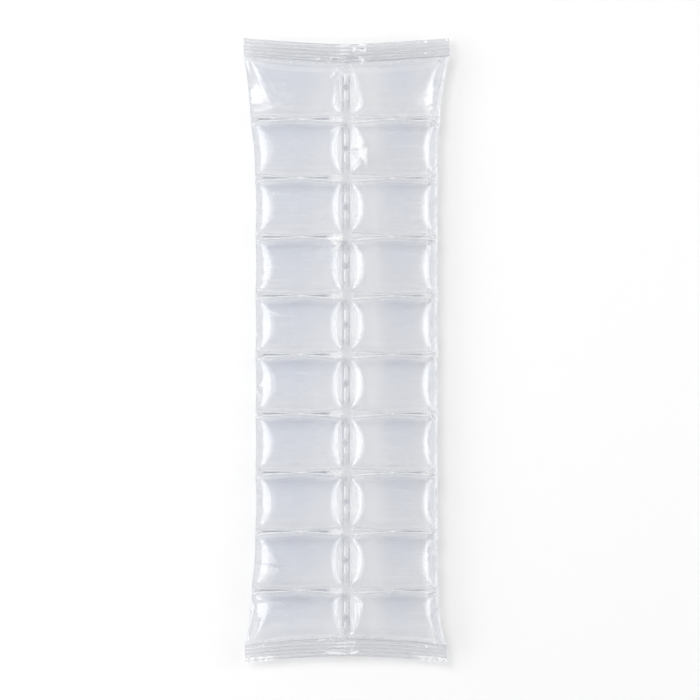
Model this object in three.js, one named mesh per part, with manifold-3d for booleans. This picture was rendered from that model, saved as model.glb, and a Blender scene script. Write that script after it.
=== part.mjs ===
// A filled ice cube bag: one tube of clear film, crimped shut at both ends and welded into two
// columns of pillow cells, with a charge of water in every cell.
// Millimetres. X runs across the bag, Y along it, Z up. The origin lies on the table, under the
// middle of the bag, and the undersides of the cells rest on Z = 0.
import * as THREE from "three";
import { mergeVertices } from "three/addons/utils/BufferGeometryUtils.js";
import Module from "manifold-3d";

// Film
const FILM = 0.1; // thickness of one layer
const SEAL_WIDTH = 109; // flat width of the tube, kept by the seal at its head
const FOOT_WIDTH = 106; // width of the foot seal, which is gathered a little
const BODY_WIDTH = 96.5; // width between the side folds where the filling draws them in
const FLARE_LENGTH = 68; // length over which the sides open out to an end seal
const HEAD_FLARE = 1.9; // 1 opens the sides out in a straight line, and more opens them closer to the seal
const FOOT_FLARE = 3.4;
const SCALLOP = 0.9; // how much further a side fold is drawn in beside the middle of a cell

// Cells
const CELL_ROWS = 10;
const CELL_PITCH = 31.2; // from one cross weld to the next
const ROW_SHIFT = 2.1; // how far the cross welds sit from even spacing, towards the foot of the bag
const CROWN = 8.6; // rise of a full pillow above the weld plane
const REST_HEIGHT = 6.2; // height of the weld plane above the table
const CREASE_RUN = 6.3; // width of the lens-shaped end of a pillow, at mid cell
const DOME_POWER = 4; // how flat the top of a pillow is
const DOME_ROUND = 0.75; // how round its shoulders are

// Welds
const CROSS_WELD = 1.6; // width of the welds between rows
const SPINE_WELD = 3.2; // width of the weld between the columns, over the lap seam of the tube
const LAP_LAYERS = 2; // film layers under the spine, where the edges of the web overlap
const SIDE_CHANNEL = 4.2; // unwelded margin between the end of a cross weld and the side fold
const CHANNEL_RISE = 0.7; // how far the film stands open in that margin
const END_PASSAGE = 5; // unwelded gap between each end of the spine weld and the end seal
const PASSAGE_RISE = 1.2; // how far the film stands open in that gap

// End seals
const END_SEAL = 9.5; // depth of a crimped end seal
const RIBS = 5; // crimp ribs in a seal
const RIB_HEIGHT = 0.35; // height of a rib above or below the weld plane
const SEAL_ARCH = 3.2; // how far the middle of an end seal is drawn in towards the cells
const SEAL_ARCH_POWER = 1.3; // 1 draws the seal into a V, 2 into an arc
const MOUTH_GAP = 0.08; // hairline left between the two layers of the seal that closes the mouth
const WELDED = 1e-6; // layers closer than this are welded

// Water
const WATER_GAP = 0.6; // clearance between the water and the film around it

const wasm = await Module();
wasm.setup();

// Derived lengths
const CELLS_LENGTH = CELL_ROWS * CELL_PITCH;
const SPINE_EDGE = SPINE_WELD / 2;
const SEAL_EDGE = CELLS_LENGTH / 2; // where the cells end and the seals begin

const clamp01 = (value) => Math.min(1, Math.max(0, value));

// Half the width of the bag at a place along it. cellShare is 0 at a weld and 1 at mid cell.
function halfWidth(y, cellShare) {
  const near = 1 - clamp01((SEAL_EDGE - Math.abs(y)) / FLARE_LENGTH);
  const flare = near ** (y > 0 ? HEAD_FLARE : FOOT_FLARE);
  const sealWidth = y > 0 ? SEAL_WIDTH : FOOT_WIDTH;
  return BODY_WIDTH / 2 + ((sealWidth - BODY_WIDTH) / 2) * flare - SCALLOP * cellShare;
}

// How far a row is moved along the bag: the cells at the head are longer than those at the foot.
function rowShift(y) {
  return -ROW_SHIFT * clamp01((SEAL_EDGE - Math.abs(y)) / CELL_PITCH);
}

// How far a point near an end is drawn in: fully in the seal, fading out over the first cell.
function archShift(x, y, half) {
  const fade = 1 - clamp01((SEAL_EDGE - Math.abs(y)) / CELL_PITCH);
  const share = 1 - Math.min(1, Math.abs(x) / half) ** SEAL_ARCH_POWER;
  return -Math.sign(y) * SEAL_ARCH * fade * share;
}

// Stations: the rows of the grid along Y. cell is the index of the row of cells, or null in a seal.
// along runs from -1 to 1 across a cell, and rib is the crimp's offset from the weld plane.
function sealStations(side) {
  const steps = 2 * RIBS;
  const stations = [];
  for (let k = 1; k <= steps; k++) {
    const rib = k % 2 ? RIB_HEIGHT : k < steps ? -RIB_HEIGHT : 0;
    stations.push({ y: side * (SEAL_EDGE + (k * END_SEAL) / steps), cell: null, rib, mouth: side > 0 });
  }
  return side > 0 ? stations : stations.reverse();
}

function cellStations(cell) {
  const first = cell === 0;
  const last = cell === CELL_ROWS - 1;
  const start = cell * CELL_PITCH - SEAL_EDGE + (first ? 0 : CROSS_WELD / 2);
  const end = (cell + 1) * CELL_PITCH - SEAL_EDGE - (last ? 0 : CROSS_WELD / 2);
  const depth = end - start;
  const steps = [0, END_PASSAGE / 2, END_PASSAGE, 0.36 * depth];
  const places = [...steps, ...steps.map((step) => depth - step).reverse()];
  return places.map((place, k) => ({
    y: start + place,
    cell,
    along: (2 * place) / depth - 1,
    rib: 0,
    mouth: last && k === places.length - 1,
    passage: first ? place : last ? depth - place : Infinity,
  }));
}

const STATIONS = [
  ...sealStations(-1),
  ...Array.from({ length: CELL_ROWS }, (_, cell) => cellStations(cell)).flat(),
  ...sealStations(1),
];

// Lanes: the columns of the grid, as distances across one half of the bag, from the spine outwards.
function lanes(half) {
  const inner = [0, 0.4 * CREASE_RUN, CREASE_RUN].map((d) => SPINE_EDGE + d);
  const outer = [2 * SIDE_CHANNEL, SIDE_CHANNEL, SIDE_CHANNEL / 2, 0].map((d) => half - d);
  const right = [...inner, (inner.at(-1) + outer[0]) / 2, ...outer];
  return [...right.map((x) => -x).reverse(), ...right];
}

const LANES_PER_HALF = lanes(BODY_WIDTH / 2).length / 2;

// Rise of the film above or below the weld plane, before the table flattens the underside.
// The pillow is a dome between two welds that falls away, at each end, over a lens-shaped crease.
function pillowRise(fromSpine, fromFold, along) {
  const bow = 1 - along * along;
  const dome = CROWN * (1 - Math.abs(along) ** DOME_POWER) ** DOME_ROUND;
  const ease = (distance, run) => Math.sin((Math.PI / 2) * clamp01(distance / run)) ** 0.8;
  const spineRun = CREASE_RUN * bow ** DOME_ROUND + FILM;
  const foldRun = SIDE_CHANNEL / 2 + CREASE_RUN * bow ** DOME_ROUND;
  return dome * ease(fromSpine, spineRun) * ease(fromFold, foldRun);
}

// The open gap between the weld plane and one layer of film at a point of the grid.
function filmRise(station, fromSpine, fromFold) {
  if (fromFold <= 0) return 0;
  if (station.mouth) return MOUTH_GAP / 2;
  if (station.cell === null) return 0;
  const edge = fromFold < SIDE_CHANNEL ? Math.sin((Math.PI * fromFold) / SIDE_CHANNEL) : 0;
  const pass = station.passage < END_PASSAGE ? Math.sin((Math.PI * station.passage) / END_PASSAGE) : 0;
  const inSeal = Math.abs(station.y) >= SEAL_EDGE;
  const open = inSeal ? 0 : Math.max(CHANNEL_RISE * edge, PASSAGE_RISE * pass);
  const rise = Math.max(open, pillowRise(fromSpine, fromFold, station.along));
  return rise < WELDED ? 0 : rise;
}

// One point of the grid: its place on the weld plane, and how far the film's inner faces lie
// above (up) and below (down) it.
function gridPoint(station, lane) {
  const half = halfWidth(station.y, station.cell === null ? 0 : 1 - station.along ** 2);
  const x = lanes(half)[lane];
  const rise = filmRise(station, Math.abs(x) - SPINE_EDGE, half - Math.abs(x));
  return {
    x,
    y: station.y + rowShift(station.y) + archShift(x, station.y, half),
    z: REST_HEIGHT + station.rib,
    up: rise,
    down: Math.min(rise, REST_HEIGHT - FILM),
    onSpine: Math.abs(x) <= SPINE_EDGE,
    onFold: lane === 0 || lane === 2 * LANES_PER_HALF - 1,
  };
}

const GRID = STATIONS.map((station) =>
  Array.from({ length: 2 * LANES_PER_HALF }, (_, lane) => gridPoint(station, lane)),
);

// A closed body between an upper and a lower sheet over a grid of points. The sheets join where a
// point is pinched (up and down are 0), squares with four pinched corners are left out, and walls
// close any other border.
function sheetSolid(grid) {
  const positions = [];
  const pinched = (p) => p.up === 0 && p.down === 0;
  const vertex = (p, side) => [p.x, p.y, p.z + (side > 0 ? p.up : -p.down)];
  const triangle = (...corners) => corners.forEach((corner) => positions.push(...corner));
  const isOpen = (i, j) =>
    i >= 0 && j >= 0 && i < grid.length - 1 && j < grid[0].length - 1 &&
    [grid[i][j], grid[i][j + 1], grid[i + 1][j], grid[i + 1][j + 1]].some((p) => !pinched(p));
  const wall = (p, q) => {
    const [pUp, qUp, pDown, qDown] = [vertex(p, 1), vertex(q, 1), vertex(p, -1), vertex(q, -1)];
    if (!pinched(p)) triangle(pUp, pDown, qDown);
    if (!pinched(q)) triangle(pUp, qDown, qUp);
  };
  for (let i = 0; i < grid.length - 1; i++) {
    for (let j = 0; j < grid[0].length - 1; j++) {
      if (!isOpen(i, j)) continue;
      const [a, b, c, d] = [grid[i][j], grid[i][j + 1], grid[i + 1][j + 1], grid[i + 1][j]];
      for (const side of [1, -1]) {
        const [va, vb, vc, vd] = [a, b, c, d].map((p) => vertex(p, side));
        if (side > 0) {
          triangle(va, vb, vc);
          triangle(va, vc, vd);
        } else {
          triangle(va, vc, vb);
          triangle(va, vd, vc);
        }
      }
      if (!isOpen(i - 1, j)) wall(a, b);
      if (!isOpen(i, j + 1)) wall(b, c);
      if (!isOpen(i + 1, j)) wall(c, d);
      if (!isOpen(i, j - 1)) wall(d, a);
    }
  }
  const geometry = new THREE.BufferGeometry();
  geometry.setAttribute("position", new THREE.Float32BufferAttribute(positions, 3));
  return mergeVertices(geometry, 1e-3);
}

function toManifold(geometry) {
  const vertProperties = new Float32Array(geometry.attributes.position.array);
  const triVerts = new Uint32Array(geometry.index.array);
  return new wasm.Manifold(new wasm.Mesh({ numProp: 3, vertProperties, triVerts }));
}

function toGeometry(manifold) {
  const mesh = manifold.getMesh();
  const geometry = new THREE.BufferGeometry();
  geometry.setAttribute("position", new THREE.BufferAttribute(mesh.vertProperties, 3));
  geometry.setIndex(new THREE.BufferAttribute(mesh.triVerts, 1));
  geometry.computeVertexNormals();
  return geometry;
}

// The film: the outer form of the bag, less the single space inside it. The cells are joined by the
// side channels and the end passages, and the mouth's seal keeps a hairline between its layers.
function filmGeometry() {
  const outer = GRID.map((row) =>
    row.map((p) => ({
      ...p,
      x: p.onFold ? p.x + Math.sign(p.x) * FILM : p.x,
      up: p.onFold ? 0 : p.up + FILM,
      down: p.onFold ? 0 : p.down + FILM * (p.onSpine ? LAP_LAYERS : 1),
    })),
  );
  const beyondMouth = GRID.at(-1).map((p) => ({ ...p, y: p.y + END_SEAL }));
  const space = toManifold(sheetSolid([...GRID, beyondMouth]));
  return toGeometry(toManifold(sheetSolid(outer)).subtract(space));
}

// The water in one cell fills it to a clearance, and thins to an edge just inside the welds.
function waterGeometry(cell, firstLane) {
  const rows = GRID.filter((_, i) => STATIONS[i].cell === cell);
  const block = rows.map((row) => row.slice(firstLane, firstLane + LANES_PER_HALF));
  const inset = (p, inner) => {
    const span = Math.hypot(inner.x - p.x, inner.y - p.y);
    return THREE.MathUtils.clamp(WATER_GAP / span, 0, 1);
  };
  const lastRow = block.length - 1;
  const lastLane = LANES_PER_HALF - 1;
  const water = block.map((row, i) =>
    row.map((p, j) => {
      const inner = block[THREE.MathUtils.clamp(i, 1, lastRow - 1)][THREE.MathUtils.clamp(j, 1, lastLane - 1)];
      const onEdge = i === 0 || j === 0 || i === lastRow || j === lastLane;
      if (!onEdge) return { ...p, up: p.up - WATER_GAP, down: p.down - WATER_GAP };
      const share = inset(p, inner);
      const x = THREE.MathUtils.lerp(p.x, inner.x, share);
      const y = THREE.MathUtils.lerp(p.y, inner.y, share);
      return { ...p, x, y, up: 0, down: 0 };
    }),
  );
  return sheetSolid(water);
}

const filmMaterial = new THREE.MeshStandardMaterial({
  name: "clear_film",
  color: 0xe4e7ee,
  roughness: 0.12,
  metalness: 0,
  transparent: true,
  opacity: 0.35,
});

const waterMaterial = new THREE.MeshStandardMaterial({
  name: "water",
  color: 0xd3d8e2,
  roughness: 0.05,
  metalness: 0,
  transparent: true,
  opacity: 0.5,
});

function named(name, geometry, material) {
  const mesh = new THREE.Mesh(geometry, material);
  mesh.name = name;
  return mesh;
}

const bag = new THREE.Group();
bag.name = "ice_cube_bag";
bag.add(named("film_tube", filmGeometry(), filmMaterial));

const COLUMNS = [
  { side: "left", firstLane: 0 },
  { side: "right", firstLane: LANES_PER_HALF },
];
for (const { side, firstLane } of COLUMNS) {
  for (let cell = 0; cell < CELL_ROWS; cell++) {
    const number = String(CELL_ROWS - cell).padStart(2, "0");
    bag.add(named(`water_${side}_${number}`, waterGeometry(cell, firstLane), waterMaterial));
  }
}

export default bag;
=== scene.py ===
import math
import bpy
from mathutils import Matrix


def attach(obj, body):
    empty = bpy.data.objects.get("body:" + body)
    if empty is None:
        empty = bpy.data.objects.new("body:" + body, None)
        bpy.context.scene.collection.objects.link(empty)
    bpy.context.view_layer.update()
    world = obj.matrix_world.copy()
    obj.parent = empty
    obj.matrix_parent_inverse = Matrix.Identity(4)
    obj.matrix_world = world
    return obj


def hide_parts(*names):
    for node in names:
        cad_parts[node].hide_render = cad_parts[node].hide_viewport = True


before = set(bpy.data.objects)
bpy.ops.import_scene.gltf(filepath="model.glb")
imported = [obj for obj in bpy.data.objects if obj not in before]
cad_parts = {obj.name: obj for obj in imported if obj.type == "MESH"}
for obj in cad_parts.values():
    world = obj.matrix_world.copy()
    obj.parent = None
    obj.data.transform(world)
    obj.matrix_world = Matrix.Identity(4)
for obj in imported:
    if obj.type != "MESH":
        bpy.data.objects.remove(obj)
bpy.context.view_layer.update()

from types import SimpleNamespace as Values

import bpy
import numpy as np
from mathutils import Vector

MM = 0.001

# Sizes of the bag in millimetres
SEAL_WIDTH = 109.0
BODY_WIDTH = 96.5
FLARE_LENGTH = 68.0
# The sides open out to the seals unevenly. Left and right: width that each side of the foot seal is half
# of, and how late the side opens out, where 1 is a straight line
FOOT_WIDTH = (107.6, 106.0)
HEAD_FLARE = (1.4, 2.6)
FOOT_FLARE = (1.6, 4.0)
SCALLOP = 0.4
CELL_ROWS = 10
CELL_PITCH = 31.2
CROWN = 8.4
REST_HEIGHT = 6.2
SPINE_EDGE = 2.0
SPINE_MIDDLE = -0.25
SPINE_HALF = 1.6
END_SEAL = 9.5
RIBS = 5
RIB_HEIGHT = 0.35
SEAL_ARCH = 3.3
HEAD_ARCH_POWER = 1.3
FOOT_ARCH_POWER = 2.0
SEAL_EDGE = CELL_ROWS * CELL_PITCH / 2
ROW_SHIFT = -2.1
HALF_FILM = 0.05
WATER_GAP = 0.3

# The four ends of the pillows. Each is a face, up to a share of the height, and a turn above it that runs
# out on the top. A bend under 1 bulges the face and one over 1 hollows it. A crisp turn meets the top at a
# crease, and a soft one fades into it. The lower the lens, the squarer the end seen from above.
ENDS = {
    "left_in": dict(face=2.6, turn=3.4, share=0.66, crisp=0.6, bend=0.85, lens=0.6),
    "left_out": dict(face=2.3, turn=5.4, share=0.54, crisp=0.55, bend=0.85, lens=1.0),
    "right_in": dict(face=3.5, turn=3.4, share=0.66, crisp=0.7, bend=0.85, lens=0.75),
    "right_out": dict(face=2.5, turn=3.8, share=0.63, crisp=0.75, bend=2.2, lens=0.75),
}
# Outer ends of the cells next to the seals, where the pillow is drawn out to a corner
HEAD_ENDS = {
    "left_out": dict(face=1.6, turn=11.2, share=0.36, crisp=0.5),
    "right_out": dict(face=3.0, turn=8.0, share=0.44, crisp=0.5, bend=1.6),
}
FOOT_ENDS = {
    "left_out": dict(face=2.0, turn=9.0, share=0.325, crisp=0.5, bend=1.4),
    "right_out": dict(face=2.6, turn=4.0, share=0.64, crisp=0.3),
}
TURN_POWER = 1.55
OUTER_MARGIN = 1.5
LENS_MIN = 0.1
# How far towards the welds the ends reach, where 1 is the whole way
LENS_REACH = {"in": 0.9, "out": 1.0}
# Cells next to the seals: how fast their ends open out from the weld, and how they close towards the seal
OPENING = 2.2
OPENING_POWER = 0.6
CLOSING_LENGTH = 1.6
CLOSING_POWER = 0.8
# Roundness of the pillows along the bag, at the seals too, and across it
DOME_POWER = 7.0
DOME_ROUND = 0.75
END_POWER = 2.4
FLAT_FALL = 0.2
FLAT_POWER = 3.0
# How much the cells differ in their faces, turns and heights
FACE_SPREAD = 0.12
TURN_SPREAD = 0.1
DOME_SPREAD = 0.04

# The welds across the bag: bands that thin to a thread halfway across a cell, and the open channels between
# their outer ends and the side folds
BAND_IN = 1.7
BAND_OUT = 1.45
BAND_MIN = 0.1
BAND_MIDDLE = 24.6
CHANNEL_WIDTH = 4.2
CHANNEL_RISE = 0.6

# Steps of the grid. The rows of a cell crowd towards the welds, apart from a share of even spacing.
SPINE_STEPS = 8
FACE_STEPS = 8
TURN_STEPS = 10
FLAT_STEPS = 34
CELL_STEPS = 44
EVEN_SHARE = 0.5
WELD_PLACES = (-0.67, -0.33, 0.0, 0.33, 0.67)
SEAL_STEPS = 30

# Seeds of the draws for the cells, for the marks of the welds and for the ridges of the spine
CELL_SEED = 11
WELD_SEED = 70
RIDGE_SEED = 120
# Seeded waves: lengths in millimetres, and a seed. Each length has a strength drawn from a range.
WAVES = {
    "fold ripple": ((21.0, 12.0, 7.0), 9),
    "spine edge": ((17.0, 7.0), 21),
    "seal gather": ((9.0, 5.0), 31),
    "seal skirt": ((4.3, 2.7, 1.9), 35),
    "weld pucker": ((19.0, 9.5, 5.5), 40),
    "fold rim": ((31.2, 15.6, 9.0), 55),
    "margin": ((6.3, 3.9, 2.6), 57),
    "seal border": ((13.0, 6.1, 3.7), 63),
    "rising wrinkles": ((7.3, 4.1, 2.9), 65),
    "falling wrinkles": ((6.1, 3.7), 66),
    "haze along": ((6.1, 3.7, 2.3), 77),
    "haze across": ((47.0, 29.0, 17.0), 78),
    "weld grain": ((23.0, 11.0, 6.0), 90),
    "flash_highlight": ((3.7, 2.3), 95),
}
WAVE_STRENGTH = (0.5, 1)

# Creases pressed into the upper layer: start, end, height and width
CREASES = (
    ((2.0, 109.0), (10.5, 106.5), 0.6, 1.0),
    ((2.5, 104.0), (11.5, 99.5), -0.6, 1.0),
    ((-11.8, 51.5), (-3.4, 59.0), 0.5, 0.9),
    ((-47.6, -112.6), (-34.6, -114.0), -0.4, 0.6),
    ((-42.0, 21.5), (-35.0, 18.4), 0.4, 0.7),
    ((-39.5, 83.0), (-35.5, 82.8), 0.3, 0.6),
    ((-49.0, 148.0), (-38.0, 127.0), 0.3, 0.8),
    ((-46.0, 150.0), (-35.5, 131.0), -0.3, 0.8),
    ((-44.5, 138.0), (-33.0, 131.0), 0.25, 0.7),
    ((-47.0, 131.0), (-37.0, 125.5), -0.25, 0.6),
)
# Creases painted white, as painted highlights: start, end, strength and width
CREASE_HIGHLIGHTS = (
    # creases on the pillows
    ((-8.7, 51.1), (-2.6, 57.4), 0.9, 0.7),
    ((-9.8, 114.7), (-3.2, 119.2), 0.8, 0.7),
    ((-46.8, 126.5), (-34.5, 131.0), 0.35, 0.8),
    ((-41.6, 123.9), (-36.9, 122.9), 1.0, 0.6),
    ((24.8, 123.9), (34.6, 123.4), 0.7, 0.5),
    ((-42.0, 21.5), (-35.0, 18.4), 0.6, 0.4),
    ((-39.8, 83.0), (-35.2, 82.8), 0.6, 0.4),
    ((2.4, 109.4), (9.6, 107.0), 0.7, 0.4),
    ((5.2, 107.4), (10.0, 108.8), 0.6, 0.4),
    # gathers in the head seal
    ((-6.1, 161.2), (2.4, 161.6), 0.9, 0.4),
    ((-5.3, 159.2), (2.8, 159.2), 0.9, 0.4),
    ((-4.5, 157.5), (2.4, 157.1), 0.9, 0.4),
    ((3.2, 162.8), (4.6, 157.5), 1.0, 0.6),
    ((5.7, 162.0), (11.0, 161.6), 1.0, 0.5),
    ((5.3, 159.1), (11.4, 158.7), 1.0, 0.5),
    ((10.2, 160.8), (8.9, 156.7), 0.9, 0.6),
    # gathers below the head seal and beside the head of the spine
    ((-9.9, 152.4), (-8.2, 155.4), 0.9, 0.5),
    ((-8.6, 155.2), (0.4, 154.9), 0.6, 0.4),
    ((6.6, 156.0), (10.4, 151.6), 1.0, 0.8),
    ((-16.4, 154.2), (-13.6, 154.8), 0.7, 0.6),
    ((-9.0, 143.4), (-4.8, 149.4), 0.8, 0.6),
    ((-4.2, 149.0), (-2.5, 127.5), 0.7, 0.4),
    ((3.0, 147.0), (6.5, 137.0), 0.5, 0.6),
    # gathers beside the foot of the spine and in the foot seal
    ((-4.9, -137.5), (-3.5, -149.4), 0.8, 0.5),
    ((2.7, -139.5), (3.7, -149.6), 0.7, 0.5),
    ((5.2, -130.0), (4.4, -147.0), 0.6, 0.5),
    ((-4.2, -149.2), (-0.8, -150.8), 0.9, 0.5),
    ((0.8, -150.6), (4.2, -148.8), 0.8, 0.5),
    ((-14.5, -152.4), (-3.0, -151.6), 0.6, 0.4),
    ((-16.2, -153.6), (-9.2, -152.6), 0.9, 0.45),
    ((-9.2, -152.2), (-6.4, -153.6), 0.9, 0.5),
    ((-6.6, -151.4), (-4.2, -152.8), 0.9, 0.5),
    ((-13.0, -159.6), (0.6, -160.6), 0.9, 0.5),
    ((-8.6, -157.0), (3.2, -156.4), 0.7, 0.4),
    ((-6.6, -155.0), (4.4, -154.4), 0.6, 0.4),
    ((1.6, -160.4), (7.2, -159.2), 1.0, 0.55),
    ((2.8, -160.4), (4.0, -152.6), 1.0, 0.6),
)
# Creases painted dark, as painted shade in creases and folds: start, end, strength and width
CREASE_SHADES = (
    # creases on the pillows and at the foot of the spine
    ((-47.6, -112.3), (-34.6, -113.9), 0.6, 0.5),
    ((2.2, 107.4), (9.4, 105.2), 0.9, 0.4),
    ((3.4, 104.6), (10.2, 107.2), 0.6, 0.35),
    ((5.4, 105.6), (9.6, 98.6), 0.8, 0.4),
    ((-0.2, -140.5), (0.2, -150.0), 0.45, 2.2),
    # folds in the head seal and below it
    ((3.8, 162.6), (5.2, 161.0), 0.9, 0.5),
    ((6.2, 162.8), (8.2, 162.0), 0.8, 0.5),
    ((4.2, 159.6), (5.4, 158.0), 0.9, 0.5),
    ((6.6, 160.2), (9.2, 159.6), 0.8, 0.4),
    ((-10.4, 153.6), (-2.0, 155.1), 0.8, 0.5),
    ((-3.4, 155.1), (8.3, 155.1), 0.9, 0.5),
    ((6.6, 155.4), (10.0, 152.6), 0.7, 0.5),
    ((-4.5, 151.5), (-4.3, 128.0), 0.5, 0.35),
)
STREAK_TAPER = 0.6
# White specks in the seals: place and radius
SPECKS = (
    ((-43.7, 158.0), 0.5),
    ((42.1, 163.5), 0.8),
    ((42.1, 157.6), 0.6),
    ((53.0, 164.6), 0.8),
    ((18.3, 161.2), 0.4),
    ((-49.0, -156.6), 0.5),
    ((-44.0, -156.0), 0.7),
    ((39.0, -156.4), 0.5),
    ((42.6, -156.9), 0.6),
    ((51.0, -164.0), 0.8),
    ((44.0, -163.4), 0.5),
)
SPECK_WHITE = 0.9
# Folded facets painted white, as painted highlights: corners and strength
FACET_HIGHLIGHTS = (
    (((3.4, 118.4), (8.2, 108.3), (1.8, 106.2)), 0.45),
    (((5.6, 105.9), (11.1, 107.6), (10.3, 97.7)), 0.65),
    (((1.9, 105.1), (6.1, 100.9), (1.9, 94.5)), 0.5),
    (((-10.9, 59.8), (-1.9, 60.6), (-5.6, 55.4)), 0.9),
    (((-44.5, -100.8), (-35.4, -112.9), (-42.5, -112.0)), 0.2),
    (((-46.5, -113.4), (-35.2, -115.2), (-43.5, -124.0)), 0.2),
)
FACET_SOFT = 0.8

# Puckers that both layers share, and wrinkles in the upper one: heights and reaches in millimetres
PUCKER = Values(height=0.12, reach=2.2)
CROSSING = Values(height=1.2, along=2.6, across=7.5)
ROUND_MARK = Values(height=0.4, radius=0.9)
RIDGE = Values(height=0.3, half=0.9, start=1.0, soft=1.8)
RIDGE_END = Values(up=(8.0, 10.0), down=(7.0, 10.0), down_share=(0.8, 1.1))
RIPPLE = Values(height=0.5, reach=6.0, left_offset=400.0)
WRINKLE = Values(height=0.07, reach=12.0, full=1.2, up_slant=0.5, down_slant=-0.8)
CREASED_RISE = 2.0

# Marks along the welds. Strengths are shares of 1, and places and widths are in millimetres. A run is where
# a mark begins and ends and how softly. The higher a line's full value, the wider its strongest part.
WELD_RUN = Values(from_spine=2.4, from_fold=3.2, soft=1.5)
# Painted highlights along the welds: bright edges, stronger right of the spine, and a bright dot where a band
# is a thread
EDGE_HIGHLIGHT = Values(white=0.7, width=0.36, full=1.35, grain=0.2, even=0.9, left=1.1, right=0.9)
RIGHT_EDGE_HIGHLIGHT = Values(white=0.3, run=(3, 14, 3))
DOT_HIGHLIGHT = Values(white=0.6, radius=0.7)
# The thread is the weld's own darker line; the wedges and the faint shade beside each weld are painted shade
THREAD = Values(below=0.05, width=0.1, widening=0.42, full=1.2, left=1.2, from_fold=5.0, soft=5.0)
WEDGE = Values(share=0.75, soft=0.25)
LEFT_WEDGE_SHADE = Values(dark=0.85, run=(8.0, 24.4, 3.0))
RIGHT_WEDGE_SHADE = Values(dark=0.8, run=(14.0, 24.4, 6.0))
WELD_SHADE = Values(dark=0.03, start=0.4, fade=1.2)
# Painted highlights at the inner ends of the welds, left of the spine
FLASH = Values(length=(8.5, 11.5), start=-1.9, back=0.75, soft=0.4)
FLASH_HEIGHT = Values(tip=0.5, top=0.7, low=-0.9, lower=(0, 1.2))
FLASH_STREAKS = Values(slant=2.0, even=0.65, uneven=0.7, least=0.25, strength=(0.4, 0.7))
# Painted highlights in fine rays from the inner ends of the welds
RAY_HIGHLIGHT = Values(rises=((-3.6, -2.0), (1.2, 2.6)), length=(6.5, 10.0), start=1.9, start_rise=0.1, width=0.35)
RAY_HIGHLIGHT_SIDES = ((-1, 0.6), (1, 0.45))
# Short creases at the outer ends of the welds: a painted highlight on each, with painted shade beside it
GATHER = Values(rise=(1.8, 4.0), start=(4.0, 6.5), start_rise=0.15, end=0.5)
GATHER_HIGHLIGHT = Values(strength=0.6, rise=1.0, width=0.3)
GATHER_SHADE = Values(strength=0.45, rise=0.55, width=0.35)
# A painted highlight: a light band just below each weld
BELOW_WELD_HIGHLIGHT = Values(white=0.17, run=(0.3, 3.2, 1.2))

# Marks along the spine. Places across are measured from its middle.
SPINE_RUN = (-149.0, 148.5, 2.0)
SPINE_LINE = Values(width=0.26, full=1.3, uneven=0.4, left=1.1, right=0.7, between_cells=0.12)
SPINE_STRIP = Values(dark=0.05, soft=0.3)
SPINE_SPOT = Values(dark=0.4, place=(-0.2, -3.2), radius=1.0)
BESIDE_CELL = Values(end=13.0, soft=3.0)
RING = Values(dark=0.9, radius=0.85, width=0.35, full=1.2)
# The glints on the spine ridges are painted highlights
LEFT_GLINT = Values(white=1.0, place=-0.7, width=0.4, full=1.6)
RIGHT_GLINT = Values(white=0.55, place=0.8, width=0.3, full=1.2)
SPINE_CREASE = Values(dark=0.5, place=0.4, width=0.3, full=1.1)

# Marks in the end seals and along their inner edges. The foot seal has a ragged skirt at its corners.
HEAD_GATHER, FOOT_GATHER = 2.5, -1.5
SEAL_GATHER = Values(half=8.0, power=4, more=0.3, uneven=0.35)
# Rib crests get painted highlights and rib valleys painted shade; head and foot give each seal a plain grey
# tint
RIB = Values(left=0.35, right=0.1, white_power=3, dark_power=2, dark=0.3, head=0.2, foot=0.15)
SKIRT = Values(run=(35.0, 60.0, 5.0), start=0.7, soft=0.08, slant=3)
RAGGED = Values(even=0.45, uneven=0.6, least=0.15, most=0.9)
# Painted shade along the fold at the inner edge of each seal
SEAL_FOLD = Values(dark=0.6, place=0.1, width=0.6)
SEAL_BORDER = Values(white=0.35, place=-1.2, width=0.7, even=0.5, uneven=1.2, most=1.6)

# Marks beside the side folds: painted highlights and painted shade on the crinkles, a painted highlight on
# the right rim, and painted shade on the rims and in a grey band
MARGIN = Values(width=4.0, left_dark=0.55)
CRINKLE = Values(height=1.8, slant=1.3, calm=0.4, white=0.55, dark=0.9)
RIM = Values(width=0.7, white=0.3, dark=0.4, even=0.5)
RIGHT_MARGIN = Values(dark=0.56, run=(0.2, 5.6, 1.2), at_weld=0.2, at_cell=0.8, power=0.4)
# Marks on the pillows: painted highlights on their inner ends, thin haze, and painted light on the tops
# beside the inner ends
LEFT_END_HIGHLIGHT = Values(face=0.45, turn=0.38)
RIGHT_END_HIGHLIGHT = Values(face=0.2, face_more=0.1, face_power=2, turn=0.3, turn_power=3)
INNER_HIGHLIGHT_POWER = 0.5
HAZE = Values(white=0.34, most=0.13, along_slant=0.04, across_slant=0.3)
INNER_TOP_LIGHT = Values(left=0.05, right=0.13, place=13.0, width=6.0)
# Whitened film of the lower layer at the right fold and in the seals, put there to block light so that the
# floor beside them lies in shadow
BACK_FOLD_SHADOW_CASTER = Values(white=0.95, width=5.0, full=1.3)
BACK_SEAL_SHADOW_CASTER = Values(white=0.35, dark=0.1)

# How strongly the water is tinted at mid cell, how much more at the head of a cell as painted shade, and how
# much less beside the spine and beside the side fold as painted light
TINT_MIDDLE = {"left": 0.61, "right": 0.5}
HEAD_SHADE_TINT = 0.36
BESIDE_SPINE = {"left": 0.3, "right": 0.45}
BESIDE_FOLD = {"left": 0.0, "right": 0.35}
SPINE_TINT = Values(place=11.0, width=9.0)
FOLD_TINT = Values(start=32.0, soft=6.0)

# Layers of the film: name, which layer it is, and how much of the light it mirrors face on
FILM_LAYERS = (("film_front", "top", 0.076), ("film_back", "bottom", 0.02))
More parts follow.
